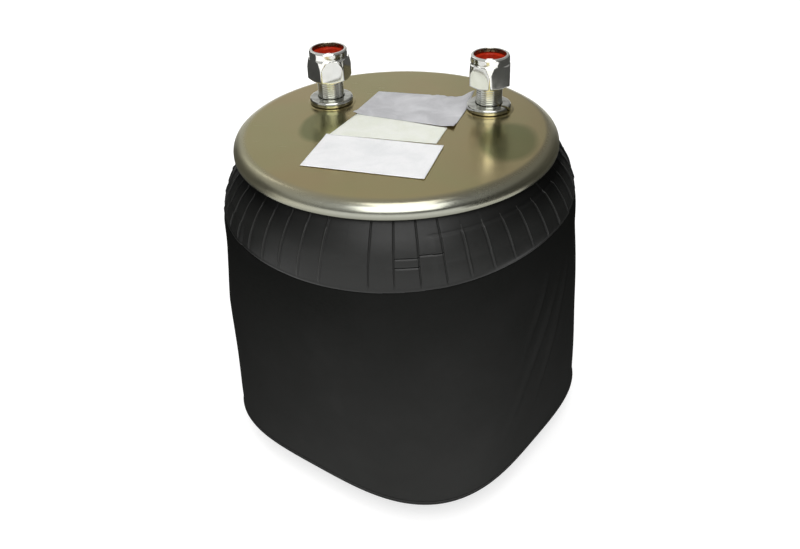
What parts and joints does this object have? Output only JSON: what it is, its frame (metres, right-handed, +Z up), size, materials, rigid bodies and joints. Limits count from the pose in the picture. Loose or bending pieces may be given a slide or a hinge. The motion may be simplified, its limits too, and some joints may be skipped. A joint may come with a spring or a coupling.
{
  "type": "air suspension spring",
  "caption": "Rolling-lobe air spring shown deflated: rolled-rim bead plate with two studs, ribbed rubber sleeve folded over a hidden piston, bumper inside.",
  "frame": {"origin": "centre of the piston's base, on the bolt circle's axis, where the part stands", "axes": "+Z up along the stroke, towards the bead plate; +X along the line through the two studs, towards the plain stud; +Y towards the side that the studs are offset to"},
  "size_m": [0.2712, 0.2712, 0.2953],
  "materials": {
    "plate_zinc": "olive-yellow passivated zinc, satin gloss",
    "stud_zinc": "bright zinc plate",
    "washer_steel": "bright zinc plate, slightly dull",
    "nut_chrome": "bright zinc plate, mirror-like",
    "red_nylon": "satin nylon",
    "rubber": "moulded rubber, satin",
    "bead_wire": "brass-coated steel wire",
    "piston_paint": "black electrocoat on drawn steel",
    "bumper_rubber": "moulded rubber, matt"
  },
  "bodies": {
    "piston_assembly": {"piston_shell": "piston_paint", "piston_base_plate": "piston_paint", "base_inserts": "stud_zinc", "clamp_plate": "piston_paint", "clamp_seal": "bumper_rubber", "centre_bolt": "stud_zinc", "centre_bolt_washer": "washer_steel", "centre_nut": "stud_zinc", "jounce_bumper": "bumper_rubber", "lower_bead": "rubber", "lower_bead_wire": "bead_wire", "flexible_member": "rubber"},
    "upper_assembly": {"bead_plate": "plate_zinc", "upper_bead": "rubber", "upper_bead_wire": "bead_wire", "air_stud": "stud_zinc", "plain_stud": "stud_zinc"},
    "left_nylon_ring": {"left_nylon_ring": "red_nylon"},
    "left_nut": {"left_nut": "nut_chrome"},
    "left_lock_washer": {"left_lock_washer": "washer_steel"},
    "right_nylon_ring": {"right_nylon_ring": "red_nylon"},
    "right_nut": {"right_nut": "nut_chrome"},
    "right_lock_washer": {"right_lock_washer": "washer_steel"}
  },
  "joints": [
    {"name": "stroke", "type": "slide", "parent": "piston_assembly", "child": "upper_assembly", "axis": [0, 0, 1], "range_m": [-0.032, 0.17], "deforming": ["flexible_member"]},
    {"name": "left_nut_travel", "type": "slide", "parent": "upper_assembly", "child": "left_nylon_ring", "axis": [0, 0, 1], "range_m": [-0.0135, 0.016]},
    {"name": "left_nut_spin", "type": "hinge", "parent": "left_nylon_ring", "child": "left_nut", "pos_m": [-0.05575, 0.038, 0.28], "axis": [0, 0, 1], "range_deg": [-3080, 3640]},
    {"name": "left_washer_spin", "type": "hinge", "parent": "upper_assembly", "child": "left_lock_washer", "pos_m": [-0.05575, 0.038, 0.257], "axis": [0, 0, 1], "continuous": true},
    {"name": "right_nut_travel", "type": "slide", "parent": "upper_assembly", "child": "right_nylon_ring", "axis": [0, 0, 1], "range_m": [-0.0135, 0.016]},
    {"name": "right_nut_spin", "type": "hinge", "parent": "right_nylon_ring", "child": "right_nut", "pos_m": [0.06175, 0.038, 0.28], "axis": [0, 0, 1], "range_deg": [-3080, 3640]},
    {"name": "right_washer_spin", "type": "hinge", "parent": "upper_assembly", "child": "right_lock_washer", "pos_m": [0.06175, 0.038, 0.257], "axis": [0, 0, 1], "continuous": true}
  ],
  "couplings": [
    {"joint": "left_nut_spin", "follows": "left_nut_travel", "rad_per_m": 3957.9},
    {"joint": "right_nut_spin", "follows": "right_nut_travel", "rad_per_m": 3957.9}
  ]
}
